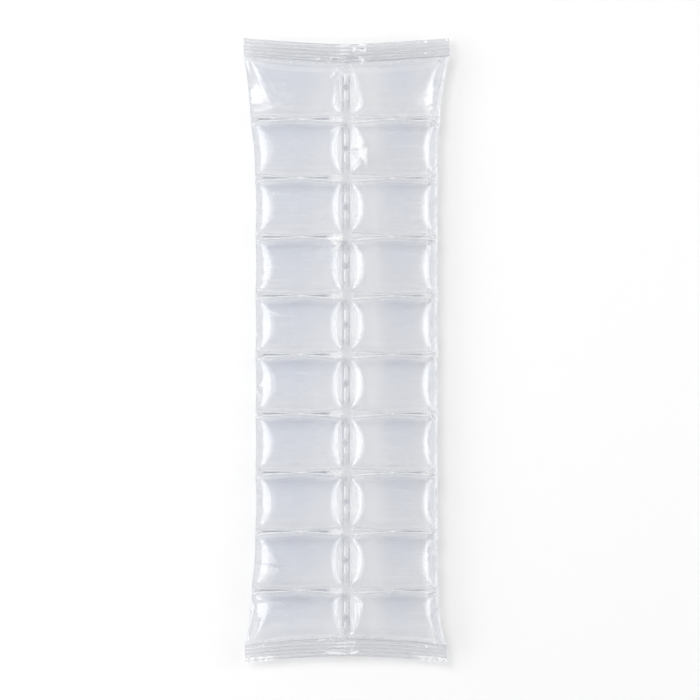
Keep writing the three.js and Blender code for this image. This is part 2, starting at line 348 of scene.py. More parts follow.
# Colours of the materials
CLEAR_FILM = (0.9715, 0.9725, 0.978, 1)
# The dark marks: the film's own darker lines and painted shade
DARK_FILM = (0.55, 0.575, 0.625, 1)
# The white marks: hazy film, painted highlights and painted light
MILKY_AND_HIGHLIGHT_FILM = (0.97, 0.97, 0.975, 1)
MILKY_AND_HIGHLIGHT_GLOW = (0.95, 0.95, 0.955, 1)
GLOW_SHARE = 0.1
WATER_TINTS = ((0.937, 0.948, 0.976, 1), (0.948, 0.959, 0.979, 1))
FULL_DEPTH = 0.85
WHITE = (1, 1, 1, 1)
FLOOR_COLOUR = (0.93, 0.93, 0.93, 1)
FLOOR_ROUGHNESS = 0.9
# Film seen at a slant: where it starts and stops to darken, how dark it gets and how much it mirrors
SLANT = Values(blend=0.5, start=0.5, stop=0.8, dark=0.15, mirror=0.25, mirror_power=3.0)
FILM_ROUGHNESS = (0.09, 0.15)
# Noise in the film's gloss and in the water's tint: scale, detail and the span of values that counts
GLOSS_NOISE = Values(scale=90.0, detail=3.0, low=0.3, high=0.7)
WATER_NOISE = Values(scale=45.0, detail=2.0, low=0.35, high=0.65)

# The studio in metres: floor, lamps and camera
FLOOR_SIZE = 6.0
FLOOR_HEIGHT = -0.0004
NEAR_FLOOR, FAR_FLOOR = 0.4, 0.9
# Lamps: name, place, width, height and power in watts
LAMPS = (
    ("left_box", (-1.2, 0.0, 0.55), 1.5, 0.6, 10.4),
    ("left_glow", (-1.0, 0.0, 1.1), 2.0, 0.45, 3.95),
    ("right_box", (1.2, 0.0, 0.55), 1.5, 0.6, 8.3),
    ("right_glow", (1.0, 0.0, 1.1), 1.5, 0.45, 2.27),
    ("head_box", (0.0, 1.3, 0.5), 1.6, 0.5, 2.37),
    ("foot_glow", (0.0, -0.9, 1.25), 2.0, 1.3, 2.95),
)
UNREFLECTED_LAMP = ("overhead_fill", (-0.85, 0.75, 1.9), 1.2, 1.2, 20.2)
WORLD_STRENGTH = 0.12
CAMERA_PLACE = (0.00185, 0.0003, 3.0)
# Width that fills the picture, and the height at which it is measured
PICTURE_WIDTH = 0.3706
PICTURE_HEIGHT = 0.008
# The camera's sensor, in millimetres
SENSOR_WIDTH = 36.0
# How many clear surfaces light may pass straight through
CLEAR_LAYERS = 32

# Kinds of row, and zones across the bag from the spine outwards
SEAL, CELL, WELD = range(3)
SPINE, FACE_IN, TURN_IN, FLAT, TURN_OUT, FACE_OUT = range(6)

cell_draws = np.random.default_rng(CELL_SEED)


def half_width(y, share, side):
    """Half the width of the bag at y. share is 0 at a weld and 1 at mid cell."""
    near = 1 - np.clip((SEAL_EDGE - np.abs(y)) / FLARE_LENGTH, 0, 1)
    head = np.where(side < 0, *HEAD_FLARE)
    foot = np.where(side < 0, *FOOT_FLARE)
    flare = near ** np.where(y > 0, head, foot)
    seal_width = np.where(y > 0, SEAL_WIDTH, np.where(side < 0, *FOOT_WIDTH))
    return BODY_WIDTH / 2 + (seal_width - BODY_WIDTH) / 2 * flare - SCALLOP * share


def arch_shift(x, y, half):
    """How far the middle of an end is drawn in."""
    fade = 1 - np.clip((SEAL_EDGE - np.abs(y)) / CELL_PITCH, 0, 1)
    power = np.where(y > 0, HEAD_ARCH_POWER, FOOT_ARCH_POWER)
    return -np.sign(y) * SEAL_ARCH * fade * (1 - np.minimum(1, np.abs(x) / half) ** power)


def row_shift(y):
    """How far the rows are moved along the bag: the cells at the head are longer than those at the foot."""
    return ROW_SHIFT * np.clip((SEAL_EDGE - np.abs(y)) / CELL_PITCH, 0, 1)


WELD_LINES = -SEAL_EDGE + CELL_PITCH * np.arange(1, CELL_ROWS) + ROW_SHIFT
CELL_MIDDLES = -SEAL_EDGE + CELL_PITCH * (np.arange(CELL_ROWS) + 0.5)
CELL_MIDDLES = CELL_MIDDLES + row_shift(CELL_MIDDLES)


def row_list():
    """Rows of the grid from end to end: kind, cell or weld number, and place within it."""
    rows = []
    for step in range(SEAL_STEPS):
        rows.append((SEAL, 0, 1 - step / SEAL_STEPS))
    for cell in range(CELL_ROWS):
        for step in range(CELL_STEPS + 1):
            even = 2 * step / CELL_STEPS - 1
            crowded = math.sin(math.pi / 2 * even)
            rows.append((CELL, cell, EVEN_SHARE * even + (1 - EVEN_SHARE) * crowded))
        if cell < CELL_ROWS - 1:
            rows += [(WELD, cell, place) for place in WELD_PLACES]
    for step in range(1, SEAL_STEPS + 1):
        rows.append((SEAL, CELL_ROWS - 1, step / SEAL_STEPS))
    return np.array(rows)


def lane_list():
    """Lanes from side fold to side fold: zone, place in it from the spine outwards, and side."""
    zones = ((SPINE, SPINE_STEPS), (FACE_IN, FACE_STEPS), (TURN_IN, TURN_STEPS), (FLAT, FLAT_STEPS),
             (TURN_OUT, TURN_STEPS), (FACE_OUT, FACE_STEPS))
    right = []
    for zone, steps in zones:
        right += [(zone, step / steps) for step in range(1, steps + 1)]
    zone, place = np.array(right).T
    zone = np.concatenate([zone[::-1], [SPINE], zone])
    place = np.concatenate([place[::-1], [0.0], place])
    side = np.concatenate([-np.ones(len(right)), np.ones(len(right) + 1)])
    return zone, place, side


def end_size(net, end, name):
    """A size of the inner or outer ends of every cell."""

    def pick(table):
        left = ENDS["left_" + end] | table.get("left_" + end, {})
        right = ENDS["right_" + end] | table.get("right_" + end, {})
        return np.where(net.left, left[name], right[name])

    head, foot = net.number == CELL_ROWS - 1, net.number == 0
    return np.where(head, pick(HEAD_ENDS), np.where(foot, pick(FOOT_ENDS), pick(ENDS)))


def per_cell(net, spread):
    """A seeded factor near 1 for every cell, spread out over the grid."""
    table = 1 + spread * cell_draws.uniform(-1, 1, (2, CELL_ROWS))
    return table[(net.side > 0).astype(int), net.number.astype(int)]


def wave(place, name, k=0):
    """A smooth seeded wave of height about 1, made of a few wavelengths. k picks one wave of its kind."""
    lengths, seed = WAVES[name]
    draws = np.random.default_rng(seed + k)
    total = 0 * place
    for length in lengths:
        swing = np.sin(2 * np.pi * (place / length + draws.uniform()))
        total = total + swing * draws.uniform(*WAVE_STRENGTH)
    return total / len(lengths)


def streak(x, y, start, end, width):
    """1 on a straight line between two points, 0 well off it, with tapered ends."""
    (x0, y0), (x1, y1) = start, end
    length = math.hypot(x1 - x0, y1 - y0)
    ux, uy = (x1 - x0) / length, (y1 - y0) / length
    along = ((x - x0) * ux + (y - y0) * uy) / length
    off = -(x - x0) * uy + (y - y0) * ux
    taper = np.sin(np.pi * np.clip(along, 0, 1)) ** STREAK_TAPER
    return np.exp(-(off / width) ** 2) * taper


def patch(x, y, corners, soft):
    """1 inside a flat outline whose corners run clockwise, fading out over its soft border."""
    inside = np.full_like(x, np.inf)
    for (x0, y0), (x1, y1) in zip(corners, corners[1:] + corners[:1]):
        length = math.hypot(x1 - x0, y1 - y0)
        inside = np.minimum(inside, ((x - x0) * (y1 - y0) - (y - y0) * (x1 - x0)) / length)
    return np.clip(inside / soft + 0.5, 0, 1)


def spot(x, y, place, radius):
    """1 at a place, and less and less round about it."""
    return np.exp(-((x - place[0]) ** 2 + (y - place[1]) ** 2) / radius ** 2)


def between(value, low, high, soft):
    """1 between two values and 0 beyond them, with soft ends."""
    return np.clip((value - low) / soft, 0, 1) * np.clip((high - value) / soft, 0, 1)


def line(off, width, full=1.0):
    """1 on a line and 0 away from it. full over 1 widens the part that is 1."""
    return np.clip(full - np.abs(off) / width, 0, 1)


def band_half(x, half):
    """Half the height of a weld band."""
    out = np.abs(x)
    span = np.where(out < BAND_MIDDLE, BAND_MIDDLE - SPINE_EDGE, half - BAND_MIDDLE)
    widest = np.where(out < BAND_MIDDLE, BAND_IN, BAND_OUT)
    return BAND_MIN + (widest - BAND_MIN) * np.clip(np.abs(out - BAND_MIDDLE) / span, 0, 1)


def film_net():
    """The rows and lanes of the film seen from above, with what lies at each crossing."""
    net = Values()
    net.kind, net.number, net.place = (column[:, None] for column in row_list().T)
    net.zone, net.along, net.side = (column[None, :] for column in lane_list())
    net.left = net.side < 0
    net.in_cell = net.kind == CELL
    net.is_seal = net.kind == SEAL
    net.end_cell = net.in_cell & ((net.number == 0) | (net.number == CELL_ROWS - 1))
    # place along a cell from weld to weld, and from weld to seal in a cell next to a seal
    net.cell_place = np.where(net.in_cell, net.place, 1.0)
    net.bow = np.clip(1 - net.cell_place ** 2, 0, 1)
    net.sign = np.where(net.number == 0, -1, 1)
    net.to_seal = net.cell_place * net.sign
    net.opening = np.clip(OPENING * (1 + net.to_seal), 0, 1) ** OPENING_POWER
    net.drawn = np.clip((1 - net.to_seal) / CLOSING_LENGTH, 0, 1) ** CLOSING_POWER * net.opening

    y_cell = -SEAL_EDGE + CELL_PITCH * (net.number + (net.place + 1) / 2)
    net.y_weld = -SEAL_EDGE + CELL_PITCH * (net.number + 1)
    y_seal = net.sign * (SEAL_EDGE + END_SEAL * net.place)
    net.base = np.where(net.is_seal, y_seal, np.where(net.in_cell, y_cell, net.y_weld))
    net.half = half_width(net.base, np.where(net.in_cell, net.bow, 0.0), net.side)
    net.out = place_across(net)
    net.x = net.out * net.side
    net.from_fold = net.half - net.out
    net.band = band_half(net.x, net.half)
    net.weld_run = between(net.out, WELD_RUN.from_spine, net.half - WELD_RUN.from_fold, WELD_RUN.soft)
    net.y = place_along(net)
    return net


def lens(net, end):
    """How much of their full width the ends of the pillows have in each row."""
    reach = np.clip(1 - (net.cell_place / LENS_REACH[end]) ** 2, 0, 1)
    rounded = reach ** end_size(net, end, "lens")
    return LENS_MIN + (1 - LENS_MIN) * np.where(net.end_cell, net.drawn, rounded)


def place_across(net):
    """Distance from the middle of the bag: spine strip, face, turn, flat, turn, face."""
    lens_in, lens_out = lens(net, "in"), lens(net, "out")
    face_in = end_size(net, "in", "face") * lens_in * per_cell(net, FACE_SPREAD)
    turn_in = end_size(net, "in", "turn") * lens_in * per_cell(net, TURN_SPREAD)
    face_out = OUTER_MARGIN + end_size(net, "out", "face") * lens_out * per_cell(net, FACE_SPREAD)
    turn_out = end_size(net, "out", "turn") * lens_out * per_cell(net, TURN_SPREAD)
    edges = (
        SPINE_EDGE,
        SPINE_EDGE + face_in,
        SPINE_EDGE + face_in + turn_in,
        net.half - face_out - turn_out,
        net.half - face_out,
        net.half,
    )
    out = SPINE_EDGE * net.along
    for k, zone in enumerate((FACE_IN, TURN_IN, FLAT, TURN_OUT, FACE_OUT)):
        out = np.where(net.zone == zone, edges[k] + (edges[k + 1] - edges[k]) * net.along, out)
    return out


def place_along(net):
    """Place along the bag. Cells stop at the weld bands, and the ends are drawn in to an arch."""
    low = np.where(net.number == 0, 0.0, net.band)
    high = np.where(net.number == CELL_ROWS - 1, 0.0, net.band)
    y_low = -SEAL_EDGE + CELL_PITCH * net.number + low
    y_high = -SEAL_EDGE + CELL_PITCH * (net.number + 1) - high
    y = np.where(net.in_cell, y_low + (y_high - y_low) * (net.place + 1) / 2, net.base)
    y = np.where(net.kind == WELD, net.y_weld + net.place * net.band, y)
    return y + row_shift(net.base) + arch_shift(net.x, net.base, net.half)


def turn_rise(net, end):
    """Share of the height that the turn climbs: less towards the corners, so that it stays as steep."""
    rise = 1 - end_size(net, end, "share")
    return rise * np.where(net.end_cell, net.opening, lens(net, end))


def face(net, climb, end):
    """Height of a face, as a share of the pillow's. climb runs up the face."""
    return (1 - FLAT_FALL) * (1 - turn_rise(net, end)) * climb ** end_size(net, end, "bend")


def turn(net, climb, end):
    """Height of a turn, as a share of the pillow's. climb runs from the face to the flat."""
    crisp = end_size(net, end, "crisp")
    fall = crisp * (1 - climb) + (1 - crisp) * (1 - climb) ** TURN_POWER
    return (1 - FLAT_FALL) * (1 - turn_rise(net, end) * fall)


def pillow_rise(net):
    """Height of the pillows above the weld plane, with the open channels past the ends of the welds."""
    power = np.where(net.end_cell & (net.to_seal > 0), END_POWER, DOME_POWER)
    round_off = np.clip(1 - np.abs(net.cell_place) ** power, 0, 1) ** DOME_ROUND
    dome = CROWN * round_off * per_cell(net, DOME_SPREAD)
    along = net.along
    flat = 1 - FLAT_FALL * np.abs(2 * along - 1) ** FLAT_POWER + 0 * net.number
    profile = np.select(
        [net.zone == zone for zone in (SPINE, FACE_IN, TURN_IN, FLAT, TURN_OUT)],
        [0 * flat, face(net, along, "in"), turn(net, along, "in"), flat, turn(net, 1 - along, "out")],
        face(net, 1 - along, "out"),
    )
    rise = np.where(net.in_cell, dome * profile, 0.0)
    channel = CHANNEL_RISE * np.sin(np.pi * np.clip(net.from_fold / CHANNEL_WIDTH, 0, 1))
    return np.where(net.is_seal, 0.0, np.maximum(rise, channel))


def spine_ridges(from_middle, k):
    """Where the spine stands up in a narrow ridge above and below the round mark of a cell."""
    draws = np.random.default_rng(RIDGE_SEED + k)
    up = between(from_middle, RIDGE.start, draws.uniform(*RIDGE_END.up), RIDGE.soft)
    down = between(-from_middle, RIDGE.start, draws.uniform(*RIDGE_END.down), RIDGE.soft)
    return up + draws.uniform(*RIDGE_END.down_share) * down


def buckle(net):
    """Height that both layers share: the welds, spine and folds pucker where the filling draws them in."""
    lift = 0 * net.x
    by_spine = np.clip(1 - (net.out - SPINE_EDGE) / CROSSING.across, 0, 1)
    for k, weld in enumerate(WELD_LINES):
        from_weld = net.y - weld
        lift = lift + PUCKER.height * np.exp(-(from_weld / PUCKER.reach) ** 2) * wave(net.x, "weld pucker", k)
        lift = lift + CROSSING.height * np.exp(-(from_weld / CROSSING.along) ** 2) * by_spine
    ridge = RIDGE.height * line(net.x - SPINE_MIDDLE, RIDGE.half)
    for k, middle in enumerate(CELL_MIDDLES):
        lift = lift + ROUND_MARK.height * spot(net.x, net.y, (0.0, middle), ROUND_MARK.radius)
        lift = lift + ridge * spine_ridges(net.y - middle, k)
    by_fold = line(half_width(net.base, 0, net.side) - net.out, RIPPLE.reach)
    ripple = wave(net.y + np.where(net.left, RIPPLE.left_offset, 0.0), "fold ripple")
    inside = np.clip((SEAL_EDGE - np.abs(net.base)) / RIPPLE.reach, 0, 1)
    return lift + RIPPLE.height * by_fold * ripple * inside


def top_creases(net, rise):
    """Creases of the upper layer, and fine wrinkles in the outer ends of the pillows."""
    rising = wave(net.y + WRINKLE.up_slant * net.x, "rising wrinkles")
    falling = wave(net.y + WRINKLE.down_slant * net.x, "falling wrinkles")
    height = WRINKLE.height * line(net.from_fold, WRINKLE.reach, WRINKLE.full) * (rising + falling)
    for start, end, crease_height, width in CREASES:
        height = height + crease_height * streak(net.x, net.y, start, end, width)
    return height * np.clip(rise / CREASED_RISE, 0, 1)


def weld_edge_highlights(net, from_weld, k):
    """Painted highlights: the bright edges of a weld band, and the bright dot where it is a thread."""
    grain = EDGE_HIGHLIGHT.even + EDGE_HIGHLIGHT.grain * wave(net.x, "weld grain", k)
    right = EDGE_HIGHLIGHT.right + RIGHT_EDGE_HIGHLIGHT.white * between(net.out, *RIGHT_EDGE_HIGHLIGHT.run)
    strength = np.where(net.left, EDGE_HIGHLIGHT.left, right)
    edges = line(np.abs(from_weld) - net.band, EDGE_HIGHLIGHT.width, EDGE_HIGHLIGHT.full)
    dot = DOT_HIGHLIGHT.white * spot(net.out, from_weld, (BAND_MIDDLE, 0.0), DOT_HIGHLIGHT.radius)
    return EDGE_HIGHLIGHT.white * edges * grain * net.weld_run * strength + dot


def weld_middle(net, from_weld):
    """The dark middle of a weld band: the weld's own thread towards the fold, and painted shade in a wedge
    towards the spine and faintly beside the band.
    """
    outer = net.out > BAND_MIDDLE
    thread = line(from_weld + THREAD.below, THREAD.width + THREAD.widening * net.band, THREAD.full)
    wedge = np.clip((WEDGE.share * net.band - np.abs(from_weld)) / WEDGE.soft, 0, 1)
    left_wedge_shade = LEFT_WEDGE_SHADE.dark * wedge * between(net.out, *LEFT_WEDGE_SHADE.run)
    right_wedge_shade = RIGHT_WEDGE_SHADE.dark * wedge * between(net.out, *RIGHT_WEDGE_SHADE.run)
    off_fold = np.clip((net.from_fold - THREAD.from_fold) / THREAD.soft, 0, 1)
    left = np.where(outer, THREAD.left * thread, left_wedge_shade)
    right = np.where(outer, thread * off_fold, right_wedge_shade)
    shade = np.exp(-np.clip(np.abs(from_weld) - net.band - WELD_SHADE.start, 0, None) / WELD_SHADE.fade)
    return net.weld_run * (np.where(net.left, left, right) + WELD_SHADE.dark * shade)


def weld_flash_highlight(net, from_weld, k, draws):
    """A streaky white painted highlight at the inner end of a weld, left of the spine."""
    tip = -draws.uniform(*FLASH.length)
    low = FLASH_HEIGHT.low - draws.uniform(*FLASH_HEIGHT.lower)
    corners = [
        (tip, FLASH_HEIGHT.tip),
        (FLASH.start, FLASH_HEIGHT.top),
        (FLASH.start, low),
        (FLASH.back * tip, FLASH_HEIGHT.low),
    ]
    uneven = FLASH_STREAKS.uneven * wave(net.x + FLASH_STREAKS.slant * from_weld, "flash_highlight", k)
    streaky = np.clip(FLASH_STREAKS.even + uneven, FLASH_STREAKS.least, 1)
    return draws.uniform(*FLASH_STREAKS.strength) * streaky * patch(net.x, from_weld, corners, FLASH.soft)


def weld_ray_highlights(net, from_weld, draws):
    """Painted highlights: fine white rays that fan out from the inner ends of a weld."""
    white = 0 * net.x
    for way, strength in RAY_HIGHLIGHT_SIDES:
        for rise in [draws.uniform(*span) for span in RAY_HIGHLIGHT.rises]:
            near = (way * RAY_HIGHLIGHT.start, RAY_HIGHLIGHT.start_rise * rise)
            far = (way * draws.uniform(*RAY_HIGHLIGHT.length), rise)
            white = np.maximum(white, strength * streak(net.x, from_weld, near, far, RAY_HIGHLIGHT.width))
    return white


def weld_gather_light_and_shade(net, from_weld, draws):
    """Painted highlights and painted shade on short creases that fan out from the outer ends of a weld to the
    side folds.
    """
    marks = [0 * net.x, 0 * net.x]
    for here in (net.left, ~net.left):
        for rise in (draws.uniform(*GATHER.rise), -draws.uniform(*GATHER.rise)):
            start = (draws.uniform(*GATHER.start), GATHER.start_rise * rise)
            for k, look in enumerate((GATHER_HIGHLIGHT, GATHER_SHADE)):
                end = (GATHER.end, look.rise * rise)
                crease = look.strength * here * streak(net.from_fold, from_weld, start, end, look.width)
                marks[k] = np.maximum(marks[k], crease)
    return marks


def weld_marks(net):
    """White and dark marks of the welds."""
    white, dark = 0 * net.x, 0 * net.x
    for k, weld in enumerate(WELD_LINES):
        draws = np.random.default_rng(WELD_SEED + k)
        from_weld = net.y - weld
        flash_highlight = weld_flash_highlight(net, from_weld, k, draws)
        rays = weld_ray_highlights(net, from_weld, draws)
        gather_highlights, gather_shades = weld_gather_light_and_shade(net, from_weld, draws)
        # Painted highlight just below the weld
        below = BELOW_WELD_HIGHLIGHT.white * net.weld_run * between(-from_weld - net.band, *BELOW_WELD_HIGHLIGHT.run)
        white = white + weld_edge_highlights(net, from_weld, k) + flash_highlight
        white = np.maximum.reduce([white, rays, gather_highlights, below])
        dark = np.maximum(dark + weld_middle(net, from_weld), gather_shades)
    return white, dark


def spine_marks(net):
    """Dark edges of the spine, painted highlights for its glints, and the small round mark at each cell."""
    across = net.x - SPINE_MIDDLE
    out = np.abs(across)

    def upright(look):
        return line(across - look.place, look.width, look.full)

    runs = between(net.base, *SPINE_RUN)
    edge = line(out - SPINE_HALF, SPINE_LINE.width, SPINE_LINE.full)
    edge = edge * (1 + SPINE_LINE.uneven * wave(net.y, "spine edge"))
    edge = edge * np.where(across < 0, SPINE_LINE.left, SPINE_LINE.right)
    strip = np.clip((SPINE_HALF - out) / SPINE_STRIP.soft, 0, 1)
    glints = LEFT_GLINT.white * upright(LEFT_GLINT) + RIGHT_GLINT.white * upright(RIGHT_GLINT)
    crease = SPINE_CREASE.dark * upright(SPINE_CREASE)
    white = 0 * net.x
    dark = runs * (SPINE_LINE.between_cells * edge + SPINE_STRIP.dark * strip)
    for weld in WELD_LINES:
        dark = dark + SPINE_SPOT.dark * spot(across, net.y - weld, SPINE_SPOT.place, SPINE_SPOT.radius)
    for k, middle in enumerate(CELL_MIDDLES):
        from_middle = net.y - middle
        beside_cell = np.clip((BESIDE_CELL.end - np.abs(from_middle)) / BESIDE_CELL.soft, 0, 1)
        ring = line(np.hypot(across, from_middle) - RING.radius, RING.width, RING.full)
        white = white + glints * spine_ridges(from_middle, k)
        dark = dark + (runs * edge + crease) * beside_cell + RING.dark * ring
    return white, dark


def seal_marks(net):
    """Crimp ribs of the end seals, plainest on the left and gathered in the middle: painted highlights on the
    rib crests and painted shade in the rib valleys, over a plain grey tint of each seal.
    """
    middle = np.where(net.sign > 0, HEAD_GATHER, FOOT_GATHER)
    gather = np.exp(-((net.x - middle) / SEAL_GATHER.half) ** SEAL_GATHER.power)
    strength = np.where(net.left, RIB.left, RIB.right) + SEAL_GATHER.more * gather
    uneven = SEAL_GATHER.uneven * gather * wave(net.x, "seal gather")
    rib = np.sin(2 * np.pi * (RIBS * net.place + uneven))
    white = strength * np.clip(rib, 0, 1) ** RIB.white_power
    dark = RIB.dark * strength * np.clip(-rib, 0, 1) ** RIB.dark_power
    at_rim = np.clip((net.place - SKIRT.start) / SKIRT.soft, 0, 1)
    skirt = np.where(net.sign < 0, between(net.out, *SKIRT.run) * at_rim, 0.0)
    ragged = RAGGED.even + RAGGED.uneven * wave(net.x + SKIRT.slant * net.place, "seal skirt")
    white = np.maximum(white, skirt * np.clip(ragged, RAGGED.least, RAGGED.most))
    return white, (np.where(net.sign > 0, RIB.head, RIB.foot) + dark) * (1 - skirt)


def seam_marks(net):
    """White and dark marks of the welds, the spine, the seals and the folds at their inner edges, where the
    dark line is painted shade.
    """
    weld_white, weld_dark = weld_marks(net)
    spine_white, spine_dark = spine_marks(net)
    seal_white, seal_dark = seal_marks(net)
    white = np.where(net.is_seal, seal_white, np.maximum(weld_white, spine_white))
    dark = np.where(net.is_seal, seal_dark, np.maximum(weld_dark, spine_dark))
    into_seal = np.abs(net.base) - SEAL_EDGE
    crinkled = SEAL_BORDER.even + SEAL_BORDER.uneven * wave(net.x, "seal border")
    crinkled = np.clip(crinkled, 0, SEAL_BORDER.most)
    white = white + SEAL_BORDER.white * crinkled * line(into_seal - SEAL_BORDER.place, SEAL_BORDER.width)
    dark = dark + SEAL_FOLD.dark * line(into_seal - SEAL_FOLD.place, SEAL_FOLD.width)
    return white, dark


def crease_marks(net):
    """Painted highlights and painted shade on single creases and facets, and white specks."""
    white, dark = 0 * net.x, 0 * net.x
    for start, end, strength, width in CREASE_HIGHLIGHTS:
        white = np.maximum(white, strength * streak(net.x, net.y, start, end, width))
    for start, end, strength, width in CREASE_SHADES:
        dark = np.maximum(dark, strength * streak(net.x, net.y, start, end, width))
    for place, radius in SPECKS:
        white = np.maximum(white, SPECK_WHITE * spot(net.x, net.y, place, radius))
    for corners, strength in FACET_HIGHLIGHTS:
        white = np.maximum(white, strength * patch(net.x, net.y, corners, FACET_SOFT))
    return white, dark


def margin_marks(net):
    """Painted highlights and painted shade beside the side folds: crinkles, a fine rim and a grey band."""
    margin = line(net.from_fold, MARGIN.width)
    rim = line(net.from_fold, RIM.width)
    crinkles = CRINKLE.height * wave(net.y + CRINKLE.slant * net.from_fold, "margin")
    white = CRINKLE.white * margin * np.clip(crinkles - CRINKLE.calm, 0, 1)
    dark = CRINKLE.dark * margin * np.clip(-crinkles - CRINKLE.calm, 0, 1)
    white_rim = RIM.white * rim * np.clip(RIM.even + wave(net.y, "fold rim"), 0, 1)
    white = np.maximum(white, np.where(net.left, 0.0, white_rim))
    by_cell = RIGHT_MARGIN.at_weld + RIGHT_MARGIN.at_cell * net.bow ** RIGHT_MARGIN.power
    right_band = RIGHT_MARGIN.dark * between(net.from_fold, *RIGHT_MARGIN.run) * by_cell
    band = np.where(net.left, MARGIN.left_dark * margin, right_band)
    dark = np.maximum.reduce([dark, RIM.dark * rim, band])
    return np.where(net.is_seal, 0.0, white), np.where(net.is_seal, 0.0, dark)


def cell_marks(net):
    """Painted highlights on the inner ends of the pillows, streaks of haze, and painted light on the tops
    beside the inner ends.
    """
    on_face, on_turn = net.zone == FACE_IN, net.zone == TURN_IN
    left_turn = LEFT_END_HIGHLIGHT.turn * (1 - net.along)
    right_face = RIGHT_END_HIGHLIGHT.face + RIGHT_END_HIGHLIGHT.face_more * net.along ** RIGHT_END_HIGHLIGHT.face_power
    right_turn = RIGHT_END_HIGHLIGHT.turn * (1 - net.along ** RIGHT_END_HIGHLIGHT.turn_power)
    on_face_white = np.where(net.left, LEFT_END_HIGHLIGHT.face, right_face)
    on_turn_white = np.where(net.left, left_turn, right_turn)
    # Painted highlights on the inner ends of the pillows
    ends = np.where(on_face, on_face_white, np.where(on_turn, on_turn_white, 0.0))
    ends = ends * net.bow ** INNER_HIGHLIGHT_POWER
    haze = wave(net.y + HAZE.along_slant * net.x, "haze along")
    haze = haze * wave(net.x + HAZE.across_slant * net.y, "haze across")
    inner_top_light = np.where(net.left, INNER_TOP_LIGHT.left, INNER_TOP_LIGHT.right) * np.exp(-((net.out - INNER_TOP_LIGHT.place) / INNER_TOP_LIGHT.width) ** 2)
    white = np.maximum.reduce([ends, np.clip(HAZE.white * haze, 0, HAZE.most), inner_top_light])
    return np.where(net.in_cell, white, 0.0)


def film_marks(net):
    """How white and how dark the two layers of the film are at each point."""
    seam_white, seam_dark = seam_marks(net)
    crease_white, crease_dark = crease_marks(net)
    margin_white, margin_dark = margin_marks(net)
    white = np.maximum.reduce([seam_white, crease_white, margin_white, cell_marks(net)])
    dark = np.maximum.reduce([seam_dark, crease_dark, margin_dark])
    # Whitened lower film, put there to block light and cast shadows on the floor
    fold_shadow_caster = BACK_FOLD_SHADOW_CASTER.white * line(net.from_fold, BACK_FOLD_SHADOW_CASTER.width, BACK_FOLD_SHADOW_CASTER.full)
    fold_shadow_caster = np.where(net.left, 0.0, fold_shadow_caster)
    return dict(
        top_white=np.clip(white, 0, 1),
        top_dark=np.clip(dark, 0, 1),
        bottom_white=np.where(net.is_seal, BACK_SEAL_SHADOW_CASTER.white, fold_shadow_caster),
        bottom_dark=np.where(net.is_seal, BACK_SEAL_SHADOW_CASTER.dark, 0 * dark),
    )


def film_grid():
    """Points of the film's two layers and the marks at each of them."""
    net = film_net()
    rise = pillow_rise(net)
    crimp = RIB_HEIGHT * np.sin(2 * np.pi * RIBS * net.place)
    middle_z = REST_HEIGHT + np.where(net.is_seal, crimp, buckle(net))
    fold = (net.zone == FACE_OUT) & (net.along == 1)
    skin = np.where(fold, 0.0, HALF_FILM)
    top = middle_z + rise + skin + top_creases(net, rise)
    bottom = np.maximum(middle_z - rise - skin, 0.0)
    points = dict(x=net.x, y=net.y, top=top, bottom=bottom, kind=net.kind, number=net.number)
    return points | film_marks(net)


def quads_of(rows, lanes, flip, offset=0):
    """Faces of a grid of points, with their point numbers moved on by an offset."""
    row, lane = np.meshgrid(np.arange(rows - 1), np.arange(lanes - 1), indexing="ij")
    corner = (row * lanes + lane).ravel() + offset
    faces = np.stack([corner, corner + 1, corner + lanes + 1, corner + lanes], 1)
    return faces[:, ::-1] if flip else faces


def mesh_object(name, points, faces, material):
    """A smooth mesh from points in millimetres."""
    mesh = bpy.data.meshes.new(name)
    mesh.from_pydata((points * MM).tolist(), [], faces.tolist())
    mesh.polygons.foreach_set("use_smooth", [True] * len(mesh.polygons))
    mesh.materials.append(material)
    mesh.update()
    piece = bpy.data.objects.new(name, mesh)
    bpy.context.collection.objects.link(piece)
    return piece


def paint(piece, name, values):
    """Stores a value per point of a mesh for its material."""
    layer = piece.data.attributes.new(name, "FLOAT", "POINT")
    layer.data.foreach_set("value", values.ravel().astype(np.float32))


def make_film(grid):
    """The upper and lower layers of the tube, which meet at the side folds."""
    rows, lanes = grid["x"].shape
    for name, key, shine in FILM_LAYERS:
        points = np.stack([grid["x"], grid["y"], grid[key]], -1).reshape(-1, 3)
        faces = quads_of(rows, lanes, key == "bottom")
        piece = mesh_object(name, points, faces, film_material(name, shine))
        paint(piece, "white", grid[key + "_white"])
        paint(piece, "dark", grid[key + "_dark"])
        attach(piece, "root")
        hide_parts("film_tube")


def water_body(x, y, top, bottom):
    """Points, faces and half the thickness of the water between the two layers of a cell."""
    centre = (top + bottom) / 2
    half = np.clip((top - bottom) / 2 - WATER_GAP, 0, None)
    half[[0, -1]] = 0.0
    half[:, [0, -1]] = 0.0
    rows, lanes = x.shape
    upper = np.stack([x, y, centre + half], -1).reshape(-1, 3)
    lower = np.stack([x, y, centre - half], -1).reshape(-1, 3)
    upper_faces = quads_of(rows, lanes, False)
    lower_faces = quads_of(rows, lanes, True, rows * lanes)
    return np.vstack([upper, lower]), np.vstack([upper_faces, lower_faces]), half


